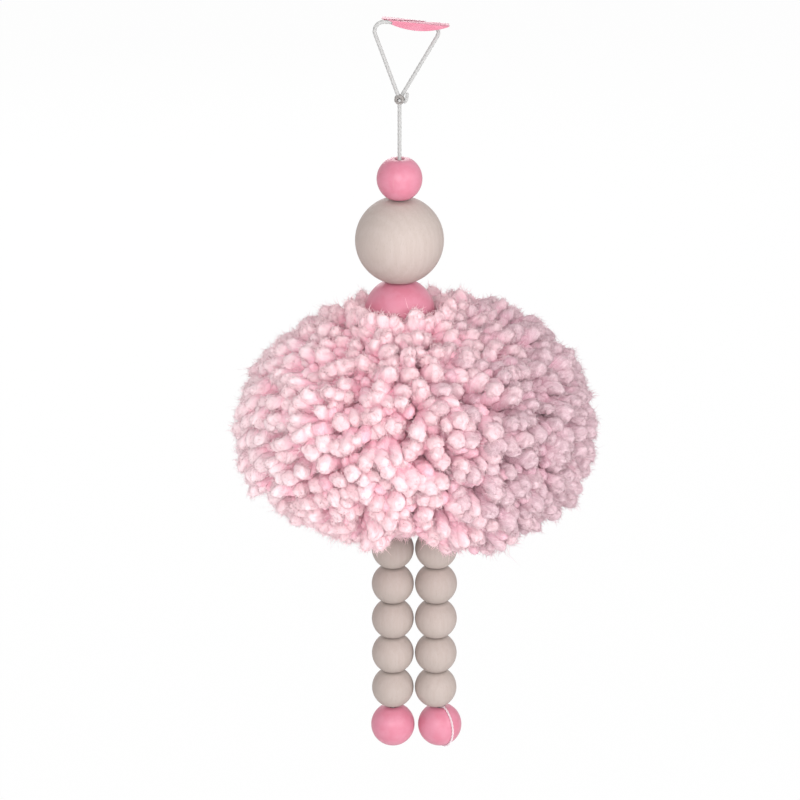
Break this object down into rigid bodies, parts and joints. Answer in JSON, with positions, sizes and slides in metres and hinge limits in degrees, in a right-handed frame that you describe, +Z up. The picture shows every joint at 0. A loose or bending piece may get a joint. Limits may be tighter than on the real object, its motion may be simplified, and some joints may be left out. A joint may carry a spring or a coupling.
{
  "type": "hanging bead doll",
  "caption": "Hanging ballerina doll of wooden beads strung on cord, with a pink bun, torso and feet, a fluffy yarn pompom as tutu and two bending legs of beads under a hanging loop.",
  "frame": {"origin": "crown of the hanging loop, above the body cord", "axes": "+Z up, front of the doll towards -Y, its legs side by side along X"},
  "size_m": [0.1257, 0.1263, 0.2644],
  "materials": {
    "natural_wood": "sanded pale beech, unlacquered",
    "pink_paint": "wood under a satin coat of pink paint",
    "pink_yarn": "soft thick wool-like yarn, cut ends",
    "pale_cord": "thin twisted cord",
    "white_thread": "fine thread"
  },
  "bodies": {
    "hanger": {"hanger_toggle": "pink_paint", "hanging_loop": "pale_cord"},
    "knot": {"loop_knot": "pale_cord"},
    "spine": {"body_cord": "pale_cord"},
    "bun": {"bun_bead": "pink_paint"},
    "head": {"head_bead": "natural_wood"},
    "torso": {"torso_bead": "pink_paint"},
    "tutu": {"tutu_yarn": "pink_yarn", "tutu_tie": "pale_cord", "waist_knot": "pale_cord", "left_hip_strand": "pale_cord", "right_hip_strand": "pale_cord"},
    "left_hip": {"left_hip_cord": "pale_cord"},
    "left_leg_1": {"left_leg_cord_1": "pale_cord"},
    "left_bead_1": {"left_leg_bead_1": "natural_wood"},
    "left_leg_2": {"left_leg_cord_2": "pale_cord"},
    "left_bead_2": {"left_leg_bead_2": "natural_wood"},
    "left_leg_3": {"left_leg_cord_3": "pale_cord"},
    "left_bead_3": {"left_leg_bead_3": "natural_wood"},
    "left_leg_4": {"left_leg_cord_4": "pale_cord"},
    "left_bead_4": {"left_leg_bead_4": "natural_wood"},
    "left_leg_5": {"left_leg_cord_5": "pale_cord"},
    "left_bead_5": {"left_leg_bead_5": "natural_wood"},
    "left_foot": {"left_foot_bead": "pink_paint", "left_foot_cord": "pale_cord", "left_foot_thread": "white_thread"},
    "right_hip": {"right_hip_cord": "pale_cord"},
    "right_leg_1": {"right_leg_cord_1": "pale_cord"},
    "right_bead_1": {"right_leg_bead_1": "natural_wood"},
    "right_leg_2": {"right_leg_cord_2": "pale_cord"},
    "right_bead_2": {"right_leg_bead_2": "natural_wood"},
    "right_leg_3": {"right_leg_cord_3": "pale_cord"},
    "right_bead_3": {"right_leg_bead_3": "natural_wood"},
    "right_leg_4": {"right_leg_cord_4": "pale_cord"},
    "right_bead_4": {"right_leg_bead_4": "natural_wood"},
    "right_leg_5": {"right_leg_cord_5": "pale_cord"},
    "right_bead_5": {"right_leg_bead_5": "natural_wood"},
    "right_foot": {"right_foot_bead": "pink_paint", "right_foot_cord": "pale_cord", "right_foot_thread": "white_thread"}
  },
  "joints": [
    {"name": "knot_sway", "type": "hinge", "parent": "hanger", "child": "knot", "pos_m": [0, 0, -0.0271], "axis": [0, 1, 0], "range_deg": [-45, 45]},
    {"name": "body_swing", "type": "hinge", "parent": "knot", "child": "spine", "pos_m": [0, 0, -0.0271], "axis": [1, 0, 0], "range_deg": [-60, 60]},
    {"name": "bun_spin", "type": "hinge", "parent": "spine", "child": "bun", "pos_m": [0, 0, -0.0545], "axis": [0, 0, 1], "continuous": true},
    {"name": "head_spin", "type": "hinge", "parent": "spine", "child": "head", "pos_m": [0, 0, -0.076], "axis": [0, 0, 1], "continuous": true},
    {"name": "torso_spin", "type": "hinge", "parent": "spine", "child": "torso", "pos_m": [0, 0, -0.10175], "axis": [0, 0, 1], "continuous": true},
    {"name": "tutu_twist", "type": "hinge", "parent": "spine", "child": "tutu", "pos_m": [0, 0, -0.14105], "axis": [0, 0, 1], "range_deg": [-180, 180]},
    {"name": "left_hip_spread", "type": "hinge", "parent": "tutu", "child": "left_hip", "pos_m": [-0.00235, 0, -0.1794], "axis": [0, 1, 0], "range_deg": [0, 20]},
    {"name": "left_hip_swing", "type": "hinge", "parent": "left_hip", "child": "left_leg_1", "pos_m": [-0.00235, 0, -0.1817], "axis": [1, 0, 0], "range_deg": [-35, 35]},
    {"name": "left_bead_spin_1", "type": "hinge", "parent": "left_leg_1", "child": "left_bead_1", "pos_m": [-0.00235, 0, -0.1883], "axis": [0, 0, 1], "continuous": true},
    {"name": "left_leg_flex_1", "type": "hinge", "parent": "left_leg_1", "child": "left_leg_2", "pos_m": [-0.00235, 0, -0.1949], "axis": [1, 0, 0], "range_deg": [-8, 8]},
    {"name": "left_bead_spin_2", "type": "hinge", "parent": "left_leg_2", "child": "left_bead_2", "pos_m": [-0.00235, 0, -0.2015], "axis": [0, 0, 1], "continuous": true},
    {"name": "left_leg_flex_2", "type": "hinge", "parent": "left_leg_2", "child": "left_leg_3", "pos_m": [-0.00235, 0, -0.2081], "axis": [1, 0, 0], "range_deg": [-8, 8]},
    {"name": "left_bead_spin_3", "type": "hinge", "parent": "left_leg_3", "child": "left_bead_3", "pos_m": [-0.00235, 0, -0.2147], "axis": [0, 0, 1], "continuous": true},
    {"name": "left_leg_flex_3", "type": "hinge", "parent": "left_leg_3", "child": "left_leg_4", "pos_m": [-0.00235, 0, -0.2213], "axis": [1, 0, 0], "range_deg": [-8, 8]},
    {"name": "left_bead_spin_4", "type": "hinge", "parent": "left_leg_4", "child": "left_bead_4", "pos_m": [-0.00235, 0, -0.2279], "axis": [0, 0, 1], "continuous": true},
    {"name": "left_leg_flex_4", "type": "hinge", "parent": "left_leg_4", "child": "left_leg_5", "pos_m": [-0.00235, 0, -0.2345], "axis": [1, 0, 0], "range_deg": [-8, 8]},
    {"name": "left_bead_spin_5", "type": "hinge", "parent": "left_leg_5", "child": "left_bead_5", "pos_m": [-0.00235, 0, -0.2411], "axis": [0, 0, 1], "continuous": true},
    {"name": "left_ankle_flex", "type": "hinge", "parent": "left_leg_5", "child": "left_foot", "pos_m": [-0.00235, 0, -0.24795], "axis": [1, 0, 0], "range_deg": [-8, 8]},
    {"name": "right_hip_spread", "type": "hinge", "parent": "tutu", "child": "right_hip", "pos_m": [0.01275, 0, -0.1794], "axis": [0, -1, 0], "range_deg": [0, 20]},
    {"name": "right_hip_swing", "type": "hinge", "parent": "right_hip", "child": "right_leg_1", "pos_m": [0.01275, 0, -0.1817], "axis": [1, 0, 0], "range_deg": [-35, 35]},
    {"name": "right_bead_spin_1", "type": "hinge", "parent": "right_leg_1", "child": "right_bead_1", "pos_m": [0.01275, 0, -0.1883], "axis": [0, 0, 1], "continuous": true},
    {"name": "right_leg_flex_1", "type": "hinge", "parent": "right_leg_1", "child": "right_leg_2", "pos_m": [0.01275, 0, -0.1949], "axis": [1, 0, 0], "range_deg": [-8, 8]},
    {"name": "right_bead_spin_2", "type": "hinge", "parent": "right_leg_2", "child": "right_bead_2", "pos_m": [0.01275, 0, -0.2015], "axis": [0, 0, 1], "continuous": true},
    {"name": "right_leg_flex_2", "type": "hinge", "parent": "right_leg_2", "child": "right_leg_3", "pos_m": [0.01275, 0, -0.2081], "axis": [1, 0, 0], "range_deg": [-8, 8]},
    {"name": "right_bead_spin_3", "type": "hinge", "parent": "right_leg_3", "child": "right_bead_3", "pos_m": [0.01275, 0, -0.2147], "axis": [0, 0, 1], "continuous": true},
    {"name": "right_leg_flex_3", "type": "hinge", "parent": "right_leg_3", "child": "right_leg_4", "pos_m": [0.01275, 0, -0.2213], "axis": [1, 0, 0], "range_deg": [-8, 8]},
    {"name": "right_bead_spin_4", "type": "hinge", "parent": "right_leg_4", "child": "right_bead_4", "pos_m": [0.01275, 0, -0.2279], "axis": [0, 0, 1], "continuous": true},
    {"name": "right_leg_flex_4", "type": "hinge", "parent": "right_leg_4", "child": "right_leg_5", "pos_m": [0.01275, 0, -0.2345], "axis": [1, 0, 0], "range_deg": [-8, 8]},
    {"name": "right_bead_spin_5", "type": "hinge", "parent": "right_leg_5", "child": "right_bead_5", "pos_m": [0.01275, 0, -0.2411], "axis": [0, 0, 1], "continuous": true},
    {"name": "right_ankle_flex", "type": "hinge", "parent": "right_leg_5", "child": "right_foot", "pos_m": [0.01275, 0, -0.24795], "axis": [1, 0, 0], "range_deg": [-8, 8]}
  ]
}
